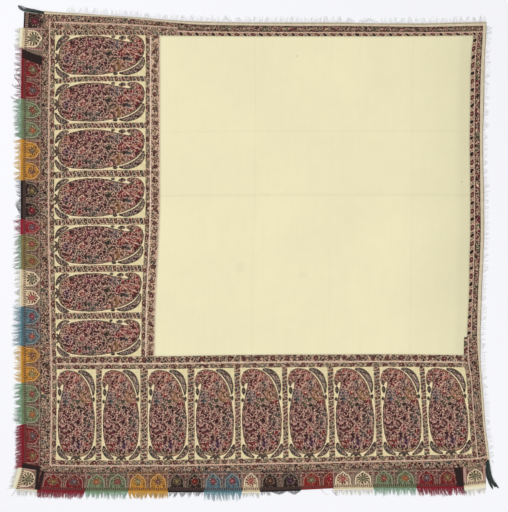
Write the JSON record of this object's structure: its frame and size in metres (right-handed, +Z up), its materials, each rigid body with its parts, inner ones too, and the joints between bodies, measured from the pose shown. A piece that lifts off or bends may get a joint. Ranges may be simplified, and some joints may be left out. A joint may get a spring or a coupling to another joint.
{
  "type": "shawl",
  "caption": "Square paisley shawl laid flat: plain cream field, woven flower borders, small arched gate panels in mixed colours on the left and lower sides, and ravelled fringes.",
  "frame": {"origin": "middle of the rectangle round the whole shawl, fringes included, on the surface that it lies on", "axes": "+X to the right side, +Y to the top hem, +Z up out of the cloth's face"},
  "size_m": [1.7152, 1.7454, 0.0038],
  "materials": {
    "cream_twill": "matte plain twill",
    "woven_border": "matte twill, closely patterned",
    "pale_hem": "matte, with pale loose threads",
    "dark_red_panel": "matte twill",
    "green_panel": "matte twill",
    "yellow_panel": "matte twill",
    "black_panel": "matte twill",
    "crimson_panel": "matte twill",
    "olive_panel": "matte twill",
    "white_panel": "matte twill",
    "blue_panel": "matte twill",
    "red_panel": "matte twill",
    "dark_red_fringe": "loose wool threads",
    "green_fringe": "loose wool threads",
    "yellow_fringe": "loose wool threads",
    "black_fringe": "loose wool threads",
    "crimson_fringe": "loose wool threads",
    "olive_fringe": "loose wool threads",
    "white_fringe": "loose wool threads",
    "blue_fringe": "loose wool threads",
    "dark_tassel": "loose wool threads"
  },
  "bodies": {
    "root": {"field": "cream_twill", "border_left": "woven_border", "border_low": "woven_border", "border_top": "woven_border", "border_right": "woven_border", "hem_top": "pale_hem", "hem_right": "pale_hem", "gate_left_01": "dark_red_panel", "gate_left_02": "white_panel", "gate_left_03": "dark_red_panel", "gate_left_04": "green_panel", "gate_left_05": "yellow_panel", "gate_left_06": "black_panel", "gate_left_07": "crimson_panel", "gate_left_08": "olive_panel", "gate_left_09": "white_panel", "gate_left_10": "blue_panel", "gate_left_11": "yellow_panel", "gate_left_12": "green_panel", "gate_left_13": "dark_red_panel", "gate_corner": "white_panel", "gate_low_01": "dark_red_panel", "gate_low_02": "green_panel", "gate_low_03": "yellow_panel", "gate_low_04": "black_panel", "gate_low_05": "blue_panel", "gate_low_06": "white_panel", "gate_low_07": "black_panel", "gate_low_08": "red_panel", "gate_low_09": "white_panel", "gate_low_10": "green_panel", "gate_low_11": "dark_red_panel", "gate_low_12": "white_panel", "gate_left_02_fringe_left": "white_fringe", "gate_left_03_fringe_left": "dark_red_fringe", "gate_left_04_fringe_left": "green_fringe", "gate_left_05_fringe_left": "yellow_fringe", "gate_left_06_fringe_left": "black_fringe", "gate_left_07_fringe_left": "crimson_fringe", "gate_left_08_fringe_left": "olive_fringe", "gate_left_09_fringe_left": "white_fringe", "gate_left_10_fringe_left": "blue_fringe", "gate_left_11_fringe_left": "yellow_fringe", "gate_left_12_fringe_left": "green_fringe", "gate_left_13_fringe_left": "dark_red_fringe", "gate_corner_fringe_left": "white_fringe", "gate_corner_fringe_low": "white_fringe", "gate_low_01_fringe_low": "dark_red_fringe", "gate_low_02_fringe_low": "green_fringe", "gate_low_03_fringe_low": "yellow_fringe", "gate_low_04_fringe_low": "black_fringe", "gate_low_05_fringe_low": "blue_fringe", "gate_low_06_fringe_low": "white_fringe", "gate_low_07_fringe_low": "black_fringe", "gate_low_09_fringe_low": "white_fringe", "gate_low_10_fringe_low": "green_fringe", "gate_low_11_fringe_low": "dark_red_fringe", "gate_low_12_fringe_low": "white_fringe", "tassel_top_left": "dark_tassel", "tassel_low_right": "dark_tassel"}
  },
  "joints": []
}
